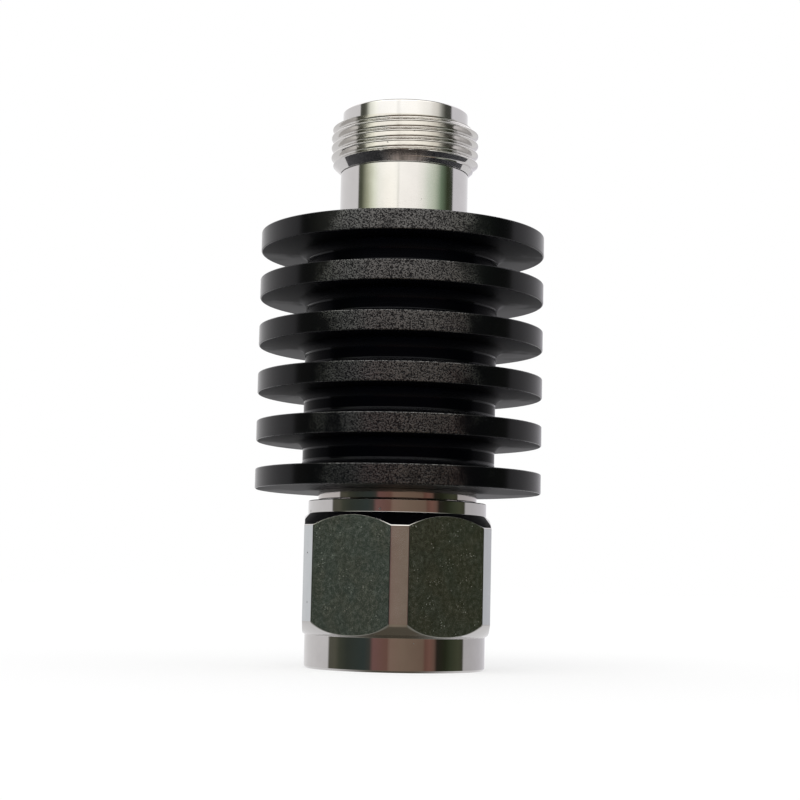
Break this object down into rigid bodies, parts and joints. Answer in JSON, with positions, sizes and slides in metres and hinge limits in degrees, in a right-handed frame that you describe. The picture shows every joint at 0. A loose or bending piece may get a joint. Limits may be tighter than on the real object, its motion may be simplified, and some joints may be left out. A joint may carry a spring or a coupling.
{
  "type": "coaxial attenuator",
  "caption": "Coaxial attenuator: a round finned heat sink with a threaded jack at one end and a plug with a turning hexagonal coupling nut at the other.",
  "frame": {"origin": "on the axis, at the open end of the coupling nut, on which the part stands", "axes": "+Z along the axis from the plug end to the jack end; -Y is the side that the picture shows"},
  "size_m": [0.0304, 0.0302, 0.0595],
  "materials": {
    "black_anodise": "bead-blasted, black anodised",
    "turned_metal": "fine turned and bright",
    "nut_metal": "turned bands, milled and brushed flats",
    "gold_plate": "gold plated",
    "bright_plate": "bright white plated",
    "bare_brass": "machined",
    "spring_wire": "drawn wire",
    "bare_aluminium": "machined",
    "white_insulator": "smooth, slightly waxy",
    "red_silicone": "satin",
    "ceramic": "fired ceramic"
  },
  "bodies": {
    "attenuator": {"heat_sink": "black_anodise", "female_shell": "turned_metal", "female_socket": "gold_plate", "female_bead": "white_insulator", "female_bead_bush": "bare_brass", "male_body": "turned_metal", "male_outer_contact": "bright_plate", "male_pin": "gold_plate", "male_bead": "white_insulator", "male_bead_bush": "bare_brass", "nut_retaining_ring": "spring_wire", "nut_gasket": "red_silicone", "resistor_card": "ceramic", "carrier_front": "bare_aluminium", "carrier_back": "bare_aluminium", "ground_clip_left": "bare_brass", "ground_clip_right": "bare_brass", "input_tab": "gold_plate", "output_tab": "gold_plate"},
    "coupling_nut": {"coupling_nut": "nut_metal"}
  },
  "joints": [
    {"name": "nut_spin", "type": "hinge", "parent": "attenuator", "child": "coupling_nut", "pos_m": [0, 0, 0.0154], "axis": [0, 0, 1], "continuous": true}
  ]
}
